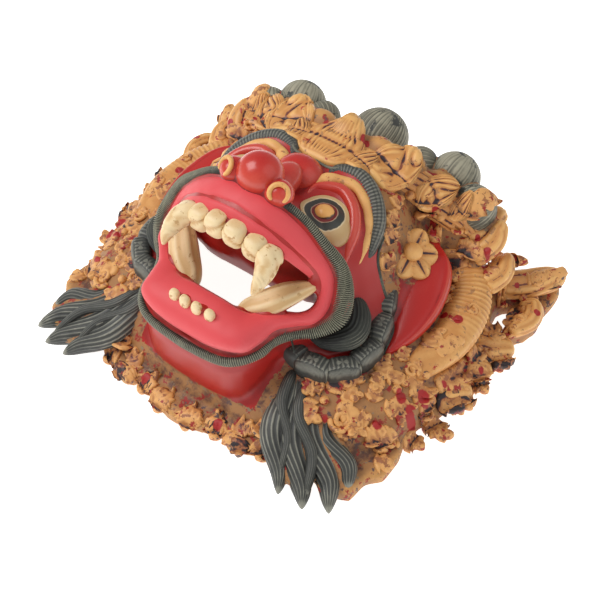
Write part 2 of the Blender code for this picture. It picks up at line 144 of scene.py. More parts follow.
def painted(name, cuts, ground, body, ridge, gloss, patch=9.0, spread=0.55, bump=0.25, worn=()):
    """Old paint on carved wood: dark in the cuts with dirt and painted shade, its ground where it
    is thin, pale on ridges.
    """
    finish = bpy.data.materials.new(name)
    finish.use_nodes = True
    tree = finish.node_tree
    surface = tree.nodes["Principled BSDF"]
    wood = node(tree, "TexCoord").outputs["Object"]
    relief = node(tree, "Attribute", attribute_name="relief").outputs["Fac"]
    blotch = node(tree, "TexNoise", {"Vector": wood, "Scale": 1 / (patch * MM), "Detail": 6.0,
                                     "Roughness": 0.62}).outputs["Fac"]
    fleck = node(tree, "TexNoise", {"Vector": wood, "Scale": 1 / (1.6 * MM), "Detail": 3.0,
                                    "Roughness": 0.7}).outputs["Fac"]
    wander = node(tree, "Math", {0: blotch, 1: spread, 2: -spread / 2},
                  operation="MULTIPLY_ADD").outputs[0]
    speck = node(tree, "Math", {0: fleck, 1: 0.12, 2: -0.06}, operation="MULTIPLY_ADD").outputs[0]
    both = node(tree, "Math", {0: wander, 1: speck}, operation="ADD").outputs[0]
    height = node(tree, "Math", {0: relief, 1: both}, operation="ADD").outputs[0]
    # Points low in the relief take the cuts' colour: dirt together with painted shade in the
    # hollows.
    ramp = node(tree, "ValToRGB", {"Fac": height})
    stops = ramp.color_ramp.elements
    for place, code in ((0.0, cuts), (0.18, cuts), (0.32, ground), (0.44, body), (0.66, body)):
        stop = stops.new(place) if place else stops[0]
        stop.color = linear(code)
    stops[-1].color = linear(ridge)
    colour = ramp.outputs["Color"]
    for number, (code, size, least) in enumerate(worn):
        far = node(tree, "VectorMath", {0: wood, 1: (0.37 * (number + 1), 0.11, 0.53)}).outputs[0]
        cloud = node(tree, "TexNoise", {"Vector": far, "Scale": 1 / (size * MM), "Detail": 5.0,
                                        "Roughness": 0.6}).outputs["Fac"]
        where = node(tree, "MapRange",
                     {"Value": cloud, "From Min": least, "From Max": least + 0.04})
        colour = node(tree, "Mix", {0: where.outputs[0], 6: colour, 7: linear(code)},
                      data_type="RGBA").outputs[2]
    if "gold" in name:
        spot = node(tree, "Attribute", attribute_name="red_spot").outputs["Fac"]
        edge = node(tree, "Math", {0: spot, 1: wander}, operation="ADD").outputs[0]
        where = node(tree, "MapRange", {"Value": edge, "From Min": 0.42, "From Max": 0.52})
        colour = node(tree, "Mix", {0: where.outputs[0], 6: colour, 7: linear("#A8211F")},
                      data_type="RGBA").outputs[2]
    tree.links.new(colour, surface.inputs["Base Color"])
    surface.inputs["Roughness"].default_value = gloss
    rough = node(tree, "Bump", {"Height": both, "Strength": bump, "Distance": 0.4 * MM})
    tree.links.new(rough.outputs["Normal"], surface.inputs["Normal"])
    return finish


def mark_relief(mesh, rounds, depth):
    """Keeps at each point how far it stands over the carving round it: 0.5 where it is level; the
    paint darkens the low points by it, as painted shade and dirt.
    """
    count = len(mesh.vertices)
    place = np.empty(count * 3)
    mesh.vertices.foreach_get("co", place)
    place = place.reshape(-1, 3)
    facing = np.empty(count * 3)
    mesh.vertex_normals.foreach_get("vector", facing)
    pairs = np.empty(len(mesh.edges) * 2, int)
    mesh.edges.foreach_get("vertices", pairs)
    a, b = pairs.reshape(-1, 2).T
    near = np.maximum(np.bincount(a, minlength=count) + np.bincount(b, minlength=count), 1)
    level = place.copy()
    for _ in range(rounds):
        for axis in range(3):
            given = np.bincount(a, level[b, axis], count) + np.bincount(b, level[a, axis], count)
            level[:, axis] = given / near
    over = ((place - level) * facing.reshape(-1, 3)).sum(1) / (depth * MM)
    kept = mesh.attributes.get("relief") or mesh.attributes.new("relief", "FLOAT", "POINT")
    kept.data.foreach_set("value", np.clip(0.5 + 0.5 * over, 0, 1).astype(np.float32))


def inside(x, y, outline):
    """Whether places lie inside a half outline that is mirrored at the middle."""
    half = np.array(outline, float)
    within = np.zeros(len(x), bool)
    x = np.abs(x)
    for (xa, ya), (xb, yb) in zip(half, np.roll(half, -1, axis=0)):
        crosses = (ya > y) != (yb > y)
        with np.errstate(divide="ignore", invalid="ignore"):
            within ^= crosses & (x < (xb - xa) * (y - ya) / (yb - ya) + xa)
    return within


# Red lacquer paint, brushed on thin: maroon in the cuts as dirt and painted shade, a little paler
# where hands rubbed it.
face_red = painted("face_red_paint", "#551514", "#861A18", "#AA1F1B", "#C23A30", 0.36, 22.0, 0.30)
# The ground between the gold leaves: the same gold gone to dirty tan, red and purple brown, near
# black in the cuts as dirt and painted shade.
gold_ground = painted("dirty_gold_ground", "#2F2224", "#6A4636", "#A47446", "#CB9454",
                      0.6, 9.0, 0.6, worn=(("#9A2A22", 9.0, 0.56), ("#5A4442", 7.0, 0.6),
                                           ("#8A7458", 6.0, 0.6)))
# Bare wood of the back, brown with age and hand dirt, darker in the cuts with painted shade.
bare_wood = painted("bare_back_wood", "#3B2A1E", "#5E4630", "#7B5E40", "#92734F", 0.8, 30.0, 0.5)
bm = bmesh.new()
bm.from_mesh(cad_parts["mask"].data)
bmesh.ops.remove_doubles(bm, verts=bm.verts[:], dist=0.01 * MM)
rough_block = bpy.data.objects.new("rough_block", bpy.data.meshes.new("rough_block"))
bm.to_mesh(rough_block.data)
bm.free()
bpy.context.scene.collection.objects.link(rough_block)
melt = rough_block.modifiers.new("melt", "REMESH")
melt.mode = "VOXEL"
melt.voxel_size = GRAIN_OF_BLOCK
rubbed = rough_block.modifiers.new("rubbed", "SMOOTH")
rubbed.iterations = 10
bpy.context.view_layer.update()
graph = bpy.context.evaluated_depsgraph_get()
block = bpy.data.objects.new("carved_block", bpy.data.meshes.new_from_object(
    rough_block.evaluated_get(graph)))
bpy.data.objects.remove(rough_block)
bpy.context.scene.collection.objects.link(block)
block.data.name = "carved_block"
mark_relief(block.data, 12, 2.2)
block_tree = BVHTree.FromPolygons([v.co for v in block.data.vertices],
                                  [p.vertices for p in block.data.polygons])
block.data.materials.clear()
for finish in (face_red, gold_ground, bare_wood):
    block.data.materials.append(finish)
centres = np.empty(len(block.data.polygons) * 3)
block.data.polygons.foreach_get("center", centres)
centres = centres.reshape(-1, 3) / MM + (0, CHIN_TO_MIDDLE, 0)
red_foot = np.where(centres[:, 1] < CHIN_REACH, CHIN_RED_FOOT, FACE_RED_FOOT)
is_red = inside(centres[:, 0], centres[:, 1], RED_PLAN) & (centres[:, 2] > red_foot)
is_red |= inside(centres[:, 0], centres[:, 1], EAR_PLAN)
bed_x, bed_y, bed_radius = ROSETTE_BED
is_red &= np.hypot(np.abs(centres[:, 0]) - bed_x, centres[:, 1] - bed_y) > bed_radius
kinds = np.where(is_red, 0, 1)
for number, face in enumerate(block.data.polygons):
    lifted = face.center + face.normal * MM
    roof = block_tree.ray_cast(lifted, Vector((0, 0, 1)))[0]
    ground = block_tree.ray_cast(lifted, Vector((0, 0, -1)))[0]
    away = centres[number, :2] - HOLLOW_MIDDLE
    outward = face.normal.x * away[0] + face.normal.y * away[1] > 0.25 * np.hypot(*away)
    roofed = roof is not None and ground is None and centres[number, 2] < HOLLOW_TOP
    if face.center.z < 0.8 * MM or (roofed and not outward):
        kinds[number] = 2
block.data.polygons.foreach_set("material_index", kinds)
block.data.polygons.foreach_set("use_smooth", [True] * len(kinds))
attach(block, "root")
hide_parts("mask")


# The height of the carving: the ornament is cut from the block's own surface, so its height is
# read off once, straight down, and every leaf, roll and band that follows is laid on it.
PITCH = 2.0
REACH_X = 204
REACH_Y = (-20, 322)


def relief_map(tree):
    """The height of the block over the floor on a grid of places in plan, softened a little."""
    xs = np.arange(0, REACH_X + PITCH, PITCH)
    ys = np.arange(REACH_Y[0], REACH_Y[1] + PITCH, PITCH)
    heights = np.zeros((len(xs), len(ys)))
    for i, x in enumerate(xs):
        for j, y in enumerate(ys):
            top = tree.ray_cast(Vector(spots((x, y, 300.0))), Vector((0, 0, -1)))[0]
            heights[i, j] = top.z / MM if top is not None else 2.0
    for _ in range(2):
        wide = np.pad(heights, 1, mode="edge")
        heights = (wide[:-2, 1:-1] + wide[2:, 1:-1] + wide[1:-1, :-2] + wide[1:-1, 2:]
                   + 2 * wide[1:-1, 1:-1]) / 6
    return heights


heights = relief_map(block_tree)
slope_x, slope_y = np.gradient(heights, PITCH)


def read_map(grid, x, y):
    """Reads a map of the block between its grid places."""
    i = np.clip(np.abs(x) / PITCH, 0, grid.shape[0] - 1.001)
    j = np.clip((y - REACH_Y[0]) / PITCH, 0, grid.shape[1] - 1.001)
    a, b = i.astype(int), j.astype(int)
    s, t = i - a, j - b
    return ((1 - s) * (1 - t) * grid[a, b] + s * (1 - t) * grid[a + 1, b]
            + (1 - s) * t * grid[a, b + 1] + s * t * grid[a + 1, b + 1])


# The lips: two broad coral bands round the mouth, carved from the same block as the face, with
# a crease along the upper one. They are painted matt, brighter than the cheeks.
LIP_OUTER = (
    (0, 16, 90), (20, 16, 91), (38, 18, 94), (53, 25, 96), (58, 40, 97),
    (61, 56, 98), (70, 68, 98), (81, 80, 98), (85, 94, 103), (83, 105, 118),
    (77, 110, 133), (62, 109, 152), (44, 109, 167), (22, 105, 180), (0, 104, 183),
)
LIP_INNER = (
    (0, 46, 115), (15, 47, 114), (28, 48, 111), (38, 52, 108), (42, 60, 106),
    (48, 68, 104), (57, 75, 102), (66, 82, 101), (71, 92, 102), (70, 98, 111),
    (66, 97, 124), (56, 88, 142), (41, 80, 157), (22, 77, 166), (0, 77, 170),
)
MOUTH_FACING = np.array((0, -0.622, 0.783))


def line(points, share):
    """Rows at even shares of the length of a smooth run through rows that begin x, y, z."""
    rows = np.asarray(points, float)
    last = len(rows) - 1

    def bend(at):
        first = np.minimum(at.astype(int), last - 1)
        t = (at - first)[:, None]
        a, b = rows[np.maximum(first - 1, 0)], rows[first]
        c, d = rows[first + 1], rows[np.minimum(first + 2, last)]
        return b + 0.5 * t * (c - a + t * (2 * a - 5 * b + 4 * c - d + t * (3 * (b - c) + d - a)))

    marks = np.linspace(0, last, 40 * last + 1)
    steps = np.linalg.norm(np.diff(bend(marks)[:, :3], axis=0), axis=1)
    gone = np.concatenate(([0], np.cumsum(steps)))
    return bend(np.interp(np.clip(share, 0, 1) * gone[-1], gone, marks))


def carve(name, finish, forms, both=True, rounds=6, depth=0.8):
    """One piece of closed forms, each a grid whose shares along and around its form places."""
    bm = bmesh.new()
    for along, around, form in forms:
        grid = bmesh.ops.create_grid(bm, x_segments=along, y_segments=around, size=0.5)["verts"]
        shares = np.array([vert.co[:2] for vert in grid]) + 0.5
        for vert, place in zip(grid, spots(form(shares[:, 0], shares[:, 1]))):
            vert.co = place
        bmesh.ops.remove_doubles(bm, verts=grid, dist=0.002 * MM)
    if both:
        other = bmesh.ops.duplicate(bm, geom=bm.verts[:] + bm.edges[:] + bm.faces[:])["geom"]
        turned = [part for part in other if isinstance(part, bmesh.types.BMVert)]
        bmesh.ops.scale(bm, vec=(-1, 1, 1), verts=turned)
        seam = [vert for vert in bm.verts if abs(vert.co.x) < 0.05 * MM]
        bmesh.ops.remove_doubles(bm, verts=seam, dist=0.05 * MM)
    bmesh.ops.dissolve_degenerate(bm, edges=bm.edges[:], dist=0.0005 * MM)
    bmesh.ops.recalc_face_normals(bm, faces=bm.faces[:])
    piece = bpy.data.objects.new(name, bpy.data.meshes.new(name))
    bm.to_mesh(piece.data)
    bm.free()
    bpy.context.scene.collection.objects.link(piece)
    piece.data.polygons.foreach_set("use_smooth", [True] * len(piece.data.polygons))
    piece.data.materials.append(finish)
    mark_relief(piece.data, rounds, depth)
    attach(piece, "root")
    return piece


def lip(u, v):
    """The closed section of the lips, from the chin round the corner of the mouth to the nose."""
    rows = line([a + b for a, b in zip(LIP_OUTER, LIP_INNER)], u)
    outer, inner = rows[:, :3], rows[:, 3:]
    lower = np.maximum(0, 1 - outer[:, 2] / 150)
    swell = 6 + 18 * lower
    across = np.minimum(v / 0.7, 1)[:, None]
    under = np.maximum(v - 0.7, 0)[:, None] / 0.3
    crown = swell * np.sin(math.pi * across[:, 0] ** 0.8) ** 0.6
    upper = np.clip((outer[:, 2] - 120) / 30, 0, 1)
    crown -= 2.4 * upper * np.exp(-((across[:, 0] - 0.62) / 0.07) ** 2)
    crown += 0.12 * np.sin(u * 90) * np.sin(across[:, 0] * 9)
    top = outer + (inner - outer) * across + MOUTH_FACING * crown[:, None]
    back = inner + (outer - inner) * under - MOUTH_FACING * 5 * np.sin(math.pi * under)
    return np.where(v[:, None] <= 0.7, top, back) + (0, 0, 0.3)


# Coral lip paint: matt and even, rubbed paler on the swell, dark maroon in the crease and cuts as
# painted shade, with the brush's fine dry streaks.
coral = painted("coral_lip_paint", "#7A2A2E", "#B83A3E", "#DB4A4F", "#E4686B", 0.55, 6.0, 0.16)
carve("lips", coral, [(150, 60, lip)], depth=1.6)


# The cord of hair round the lips: a carved twist with fine cross grooves, painted grey green and
# rubbed pale on its ridges. It spreads behind the corners of the mouth into a fan of hair.
CORD = (
    (-6, 106, 185.5, 2.6, 3.4), (24, 107, 182.5, 2.8, 3.6), (46, 112, 169, 3.2, 4),
    (65, 113, 151.5, 4.2, 5.4), (81, 114, 132, 5.6, 7), (90, 107, 114, 7, 7), (92, 95, 99, 7, 7),
    (83, 80, 92, 5, 6), (70, 66, 91, 3.4, 4.8), (62, 50, 91, 3.2, 4), (60, 35, 90, 3.2, 4),
    (50, 20, 88, 3.2, 4), (32, 13, 85, 3.2, 4), (-6, 11, 83, 3.2, 4),
)
FAN = (
    (77, 132, 92, 4, 5), (90, 120, 87, 13, 9), (99, 102, 80, 14, 9), (88, 86, 77, 9, 7),
    (76, 78, 82, 3, 4),
)
TWISTS = 180
FAN_HAIRS = 26


def oval(path, u, v, up=(0, 0, 1), blunt=8, swell=1.0):
    """Oval sections along a path of x, y, z, half width and half height, with blunt ends."""
    run = line(path, u)
    ahead = line(path, u + 0.01)[:, :3] - line(path, u - 0.01)[:, :3]
    side = np.cross(ahead, up)
    side /= np.linalg.norm(side, axis=1)[:, None]
    top = np.cross(side, ahead)
    top /= np.linalg.norm(top, axis=1)[:, None]
    size = np.sqrt(np.maximum(0, 1 - np.abs(2 * u - 1) ** blunt)) * swell
    wide = run[:, 3] * np.cos(2 * math.pi * v) * size
    high = run[:, 4] * np.sin(2 * math.pi * v) * size
    return run[:, :3] + side * wide[:, None] + top * high[:, None]


def cord(u, v):
    return oval(CORD, u, v, blunt=90, swell=1.08 + 0.14 * np.cos(2 * math.pi * (TWISTS * u + v)))


def fan(u, v):
    hairs = 1.06 + 0.04 * np.cos(2 * math.pi * (FAN_HAIRS * v + 0.7 * u))
    return oval(FAN, u, v, blunt=3, swell=hairs)


# Grey green hair paint: near black in the grooves as painted shade, rubbed to the pale ground on
# the ridges.
cord_paint = painted("grey_green_hair_paint", "#151613", "#1E201C", "#373932", "#96947E",
                     0.6, 5.0, 0.2)
cord_piece = carve("lip_cord", cord_paint, [(900, 9, cord), (40, 110, fan)], rounds=1, depth=3.0)
# The round cord stands up everywhere, so its relief is set level and its grooves made stronger:
# darker with painted shade in them, paler on the ridges between.
ticks = cord_piece.data.attributes["relief"].data
values = np.empty(len(ticks), np.float32)
ticks.foreach_get("value", values)
ticks.foreach_set("value", np.clip(0.5 + 5 * (values - np.median(values)), 0, 1).astype(np.float32))


# The teeth: four broad front ones above, each with a slanting cut, long canines, curved tusks
# that rise from the lower jaw, and four small lower ones, painted cream over the bare wood.
CANINE = (
    (39, 82, 150, 11, 9), (41, 74, 156, 10.5, 9), (45, 64, 152, 8.5, 8), (46, 54, 146, 5.5, 5.5),
    (45, 46, 139, 2, 2),
)
LOWER_TUSK = (
    (24, 52, 94, 7, 6), (31, 59, 100, 10, 9), (41, 66, 107, 12, 9.5), (54, 79, 116, 11, 7.5),
    (66, 92, 121, 6, 5), (73, 99, 122, 2, 2),
)


def egg(middle, radii, u, v, power=1.0, swell=1.0):
    """A closed ball form, squarer with a lower power: u runs from its foot to its top."""
    fall = math.pi * (u - 0.5)
    turn = 2 * math.pi * v

    def soft(value):
        return np.sign(value) * np.abs(value) ** power

    size = np.stack((soft(np.cos(fall)) * soft(np.cos(turn)),
                     soft(np.cos(fall)) * soft(np.sin(turn)), soft(np.sin(fall))), 1)
    return np.asarray(middle) + size * np.asarray(radii) * np.reshape(swell, (-1, 1))


def front_tooth(x, y, z):
    def form(u, v):
        shape = egg((0, 0, 0), (9.8, 9.5, 11), u, v, 0.72)
        cut = shape[:, 0] * 0.5 + shape[:, 2] * 0.8 - 1
        shape *= (1 - 0.17 * np.exp(-(cut / 1.6) ** 2))[:, None]
        return shape + (x, y - 1, z)
    return form


def canine(u, v):
    return oval(CANINE, u, v, (0, 1, 0.6), 7, 1.05 + 0.03 * np.cos(2 * math.pi * 6 * v))


def tusk(u, v):
    ridge = 1.05 + 0.05 * np.cos(2 * math.pi * 7 * v) + 0.05 * np.exp(-((v - 0.3) / 0.04) ** 2)
    return oval(LOWER_TUSK, u, v, (0, 0, 1), 9, ridge)


def small_tooth(x, y, z):
    return lambda u, v: egg((x, y, z), (4.6, 3.8, 6.5), u, v, 0.8)


# Tooth paint: cream gone tan, brown with dirt and painted shade in the cuts and along the gums.
tooth_paint = painted("cream_tooth_paint", "#4E3320", "#94693C", "#D6B07A", "#EBD2A4",
                      0.42, 5.0, 0.16, worn=(("#C39C68", 6.0, 0.6),))
carve("teeth", tooth_paint, [
    (24, 32, front_tooth(9, 74, 163)), (24, 32, front_tooth(27, 75.5, 158)),
    (48, 40, canine), (56, 48, tusk),
    (16, 20, small_tooth(6, 25, 117)), (16, 20, small_tooth(18, 26.5, 115)),
], rounds=8, depth=0.9)


# The nose and the ball between the brows: smooth red balls with a bridge between them, and a
# small ball for each nostril. They are glossier than the cheeks, as hands touch them most.
NOSTRIL = (22, 112, 184)
# Glossy red paint: a fuller coat than the face's, polished by handling, dark in the cuts with
# painted shade.
nose_paint = painted("glossy_red_paint", "#451213", "#8A1B19", "#B92521", "#C94A3B",
                     0.24, 14.0, 0.3)
carve("nose", nose_paint, [
    (40, 56, lambda u, v: egg((0, 117, 188), (19.6, 18.7, 18.7), u, v)),
    (40, 56, lambda u, v: egg((0, 168, 149), (21.5, 18.5, 18), u, v)),
    (30, 48, lambda u, v: egg((0, 143, 160), (14, 24, 13), u, v)),
], both=False, rounds=8, depth=0.8)
carve("nostrils", nose_paint, [
    (30, 40, lambda u, v: egg(NOSTRIL, (12.6, 11.6, 10.7), u, v)),
], rounds=8, depth=0.8)


# The eyes: round carved balls with a raised gold pupil, painted in rings, and set under red
# lids, a gold band and a ribbed black brow.
EYE_RINGS = (
    (0.0, "#EBAE62"), (0.31, "#EBAE62"), (0.335, "#2E211C"), (0.36, "#7A1D1C"), (0.42, "#7A1D1C"),
    (0.44, "#C9A98C"), (0.465, "#33332F"), (0.655, "#3B3C36"), (0.675, "#E0CDA6"),
    (0.71, "#C9A978"), (1.0, "#B8935F"),
)
EYE_X, EYE_Y, EYE_RADIUS = 44.3, 143, 24.6
# The share of the form's rows that lies on the front of the ball; the rest closes its back.
EYE_FRONT = 0.86


def eye(u, v):
    reach = np.minimum(u / EYE_FRONT, (1 - u) / 0.14) * EYE_RADIUS
    turn = 2 * math.pi * v
    dome = 132 + 21.8 * np.sqrt(np.maximum(0, 1 - (reach / 24.8) ** 2))
    dome += 4.6 * np.sqrt(np.maximum(0, 1 - (reach / 8.4) ** 2))
    dome += 0.5 * np.exp(-((reach - 11.2) / 0.7) ** 2) - 0.6 * np.exp(-((reach - 9) / 0.6) ** 2)
    lean = -1.8 * (1 - reach / EYE_RADIUS)
    x, y = EYE_X + reach * np.cos(turn), EYE_Y + lean + reach * np.sin(turn) * 0.96
    over = read_map(heights, x, y) + 1.2 - 3 * np.maximum(0, reach - 20)
    return np.stack((x, y, np.where(u <= EYE_FRONT, np.maximum(dome, over), 128.0)), 1)


# Eye paint: a gold pupil, a red line, a grey green iris and a cream white gone tan, glossy.
eye_paint = bpy.data.materials.new("ringed_eye_paint")
eye_paint.use_nodes = True
tree = eye_paint.node_tree
from_middle = node(tree, "Attribute", attribute_name="from_middle").outputs["Fac"]
wobble = node(tree, "TexNoise", {"Vector": node(tree, "TexCoord").outputs["Object"],
                                 "Scale": 1 / (3 * MM), "Detail": 4.0}).outputs["Fac"]
shaken = node(tree, "Math", {0: wobble, 1: 0.05, 2: -0.025}, operation="MULTIPLY_ADD").outputs[0]
ring_place = node(tree, "Math", {0: from_middle, 1: shaken}, operation="ADD").outputs[0]
rings = node(tree, "ValToRGB", {"Fac": ring_place})
stops = rings.color_ramp.elements
stops[0].color = linear(EYE_RINGS[0][1])
stops[1].color = linear(EYE_RINGS[-1][1])
for place, code in EYE_RINGS[1:-1]:
    stops.new(place).color = linear(code)
surface = tree.nodes["Principled BSDF"]
tree.links.new(rings.outputs["Color"], surface.inputs["Base Color"])
surface.inputs["Roughness"].default_value = 0.35
eyes = carve("eyes", eye_paint, [(120, 72, eye)])
RINGS_Y = 142.2
reaches = [math.hypot(abs(v.co.x) / MM - EYE_X, v.co.y / MM + CHIN_TO_MIDDLE - RINGS_Y) / EYE_RADIUS
           for v in eyes.data.vertices]
eyes.data.attributes.new("from_middle", "FLOAT", "POINT").data.foreach_set("value", reaches)


# The lids, gold bands and brows: long oval ridges carved over each eye, the lid red, the band
# gold, the brow black with short cross notches. A gold ring runs round each nostril.
LID = (
    (20, 150, 150, 2, 4), (23, 163, 151, 4, 5), (40, 171, 151, 5, 6), (56, 165, 146, 5, 6),
    (66, 153, 137, 5, 6), (70, 140, 128, 4, 5), (74, 128, 117, 2, 4),
)
GOLD_BAND = (
    (17, 160, 152, 3, 4), (21, 172, 152, 6, 5.5), (30, 181, 151, 5, 4), (46, 184, 149, 4.6, 4),
    (60, 178, 142, 4.6, 4), (70, 167, 133, 4.8, 4), (76, 151, 122, 5, 4), (79, 134, 111, 4, 4),
)
BROW = (
    (18, 178, 149, 3, 4), (24, 192, 149, 6, 6), (42, 196, 148, 7, 7.5), (60, 189, 141, 7.5, 7.5),
    (73, 176, 130, 7.5, 7.5), (79, 160, 118, 5.5, 7), (82, 144, 110, 2, 4),
)
NOSTRIL_FACING = np.array((0.45, -0.62, 0.64))
NOSTRIL_SIDE = np.array((0.81, 0.59, 0.0))
NOSTRIL_RING = [
    tuple(np.array(NOSTRIL) + NOSTRIL_FACING * 9.5 + 7.2 * math.cos(a) * NOSTRIL_SIDE
          + 7.2 * math.sin(a) * np.cross(NOSTRIL_FACING, NOSTRIL_SIDE)) + (2.1, 2.1)
    for a in np.linspace(-1.2, 3.9, 16)]
# Bronze gold paint over a red ground: red and purple brown show in the cuts and worn patches; the
# cuts' near black purple brown is dirt and painted shade.
worn_gold = painted("worn_gold_paint", "#33242A", "#86462F", "#D19250", "#E9B36C",
                    0.46, 9.0, 0.36, worn=(("#B07E50", 7.0, 0.6), ("#A8281F", 12.0, 0.64),
                                           ("#6A4A48", 9.0, 0.69)))
carve("lids", nose_paint, [(60, 28, lambda u, v: oval(LID, u, v, swell=1.12))], rounds=8)
carve("gold_bands", worn_gold, [
    (90, 20, lambda u, v: oval(GOLD_BAND, u, v, swell=1 + 0.05 * np.cos(40 * u))),
    (60, 16, lambda u, v: oval(NOSTRIL_RING, u, v, NOSTRIL_FACING)),
], rounds=6, depth=0.8)
# Black hair paint: soft black, darker still in the cuts with painted shade, with the pale ground
# rubbed through on the fine ridges.
brow_paint = painted("black_hair_paint", "#161615", "#262725", "#3D3E3A", "#8A897C",
                     0.5, 7.0, 0.24)
BROW_NOTCHES = 40
BROW_HAIRS = 14


def brow(u, v):
    inner = 0.5 + 0.5 * np.cos(2 * math.pi * v)
    notches = 0.045 * inner * np.cos(2 * math.pi * (BROW_NOTCHES * u + v))
    hairs = 0.02 * (1 - inner) * np.cos(2 * math.pi * BROW_HAIRS * v)
    return oval(BROW, u, v, swell=1.06 + notches + hairs)


carve("brows", brow_paint, [(200, 40, brow)], rounds=3, depth=0.4)


# The cheek fringe: seven carved blocks of cropped beard round each cheek, end to end, with
# short notches across their tops and inner sides, painted with the brows' black.
CHEEK_BLOCKS = (
    ((66, 72, 62), -10), ((88, 70, 60), 10), ((107, 82, 58), 45), ((114, 104, 60), 80),
    ((110, 129, 64), 105), ((99, 154, 69), 118), ((84, 174, 77), 125),
)
NOTCH_PITCH = 3.6


def cheek_block(middle, degrees):
    def form(u, v):
        shape = egg((0, -2.6, 1.0), (15.2, 9.4, 11.5), u, v, 0.6)
        notch = np.abs(np.cos(math.pi * shape[:, 0] / NOTCH_PITCH)) * (shape[:, 1] > -8)
        shape *= (0.99 + 0.05 * notch)[:, None]
        a = math.radians(degrees)
        x = shape[:, 0] * math.cos(a) - shape[:, 1] * math.sin(a)
        y = shape[:, 0] * math.sin(a) + shape[:, 1] * math.cos(a)
        return np.stack((x, y, shape[:, 2]), 1) + middle
    return form


carve("cheek_fringe", brow_paint, [(30, 64, cheek_block(*b)) for b in CHEEK_BLOCKS],
      rounds=5, depth=0.7)


# The hair: a bun over the forehead and three on each side, wound from carved strands, and the
# beard tufts beside the chin, whose locks end in points on the ground.
BUNS = (
    ((53, 276, 112), (15.8, 15.8, 15.8), 24, (0.8, 0.5, 0.1)),
    ((84, 285, 107), (22.8, 21.8, 22.8), 34, (0.1, 0.8, 0.5)),
    ((112, 270, 96), (21.8, 20.8, 22.8), 34, (0.35, 0.7, 0.4)),
)
CENTRE_BUN = ((0, 291, 107), (26.8, 24.8, 25.8), 40, (0.1, 0.8, 0.5))
TUFTS = (
    ((70, 70, 50, 5, 6), (74, 54, 44, 9, 9), (86, 28, 34, 12, 10), (100, 6, 21, 10, 9),
     (111, -9, 14, 6, 7), (119, -20, 10, 2, 3)),
    ((78, 66, 48, 5, 6), (88, 46, 40, 10, 9), (108, 20, 26, 12, 10), (124, 0, 15, 9, 9),
     (134, -10, 11, 6, 7), (142, -19, 9, 2, 3)),
    ((88, 60, 44, 5, 6), (104, 42, 34, 10, 9), (128, 24, 22, 12, 10), (144, 10, 14, 9, 9),
     (153, 0, 11, 6, 7), (161, -9, 8, 2, 3)),
    ((104, 54, 38, 4, 5), (126, 40, 28, 8, 8), (148, 28, 19, 8, 8), (162, 16, 12, 4, 5)),
    ((72, 66, 52, 3, 3), (78, 48, 50, 5, 5), (94, 24, 38, 5, 5), (106, 4, 26, 4, 5),
     (113, -8, 18, 2, 2)),
    ((84, 60, 50, 3, 3), (98, 40, 44, 5, 5), (118, 20, 32, 5, 5), (133, 2, 20, 4, 5),
     (139, -10, 14, 2, 2)),
)
LOCK_HAIRS = 17


def bun(middle, radii, strands, axis):
    """A ball whose strands run from one end of a leaning axis to the other."""
    axis = np.array(axis) / np.linalg.norm(axis)
    side = np.cross(axis, (0.3, 0.1, 1.0))
    side /= np.linalg.norm(side)
    turn = np.stack((side, np.cross(axis, side), axis))

    def form(u, v):
        wound = 2 * math.pi * (strands * v + 0.9 * np.sin(3 * u))
        fine = 0.016 * np.cos(wound / 2) ** 6 * (0.65 + 0.35 * np.cos(2 * math.pi * 5 * v + 6 * u))
        fine += 0.007 * np.cos(wound + 2 + 3 * u) ** 4
        ball = egg((0, 0, 0), (1, 1, 1), u, v, 1.0, 1 + fine * np.sin(math.pi * u) ** 0.5)
        return np.asarray(middle) + ball @ turn * np.asarray(radii)
    return form


def lock(path, lean):
    """A lock of a beard tuft: a wavy oval run with combed hairs, kept above the floor."""
    def form(u, v):
        combed = np.cos(math.pi * (LOCK_HAIRS * v + 0.6 * np.sin(5 * u + lean))) ** 2
        shape = oval(path, u, v, blunt=14, swell=1.05 + 0.06 * combed ** 2)
        wave = 4.2 * np.sin(2 * math.pi * (1.3 * u + lean)) * np.sin(math.pi * u)
        shape[:, 0] += wave * 0.8
        shape[:, 1] += wave * 0.5
        shape[:, 2] = np.maximum(shape[:, 2], 0.3)
        return shape
    return form


# Grey olive hair paint: duller than the brows', dark between the strands as painted shade, dusty on
# them.
bun_paint = painted("grey_olive_hair_paint", "#26261F", "#3C3B32", "#5D5B4E", "#A39E89",
                    0.6, 8.0, 0.24, worn=(("#3F403C", 14.0, 0.58),))
carve("centre_bun", bun_paint, [(44, 160, bun(*CENTRE_BUN))], both=False, rounds=3, depth=0.3)
carve("side_buns", bun_paint, [(34, 120, bun(*b)) for b in BUNS], rounds=3, depth=0.3)
carve("beard_tufts", brow_paint, [(50, 92, lock(p, 0.07 * i)) for i, p in enumerate(TUFTS)],
      rounds=3, depth=0.35)


# The red leaf ears, which lie back along the side of the head: leaves carved on the block, a
# little hollowed, with a groove along the rim, in the nose's glossy red.
EAR = (
    (126, 118, 54, 3, 5), (127, 146, 60, 12, 7), (122, 176, 68, 18, 8), (110, 206, 77, 18, 8),
    (96, 232, 82, 4, 5),
)


def ear(u, v):
    shape = oval(EAR, u, v, blunt=5, swell=1.12)
    across = np.cos(2 * math.pi * v)
    dish = 1.4 * (1 - across ** 2) - 2.2 * np.exp(-((np.abs(across) - 0.86) / 0.10) ** 2)
    shape[:, 2] -= np.where(np.sin(2 * math.pi * v) > 0, dish * np.sin(math.pi * u), 0)
    return shape


carve("leaf_ears", nose_paint, [(80, 64, ear)], rounds=8, depth=1.0)


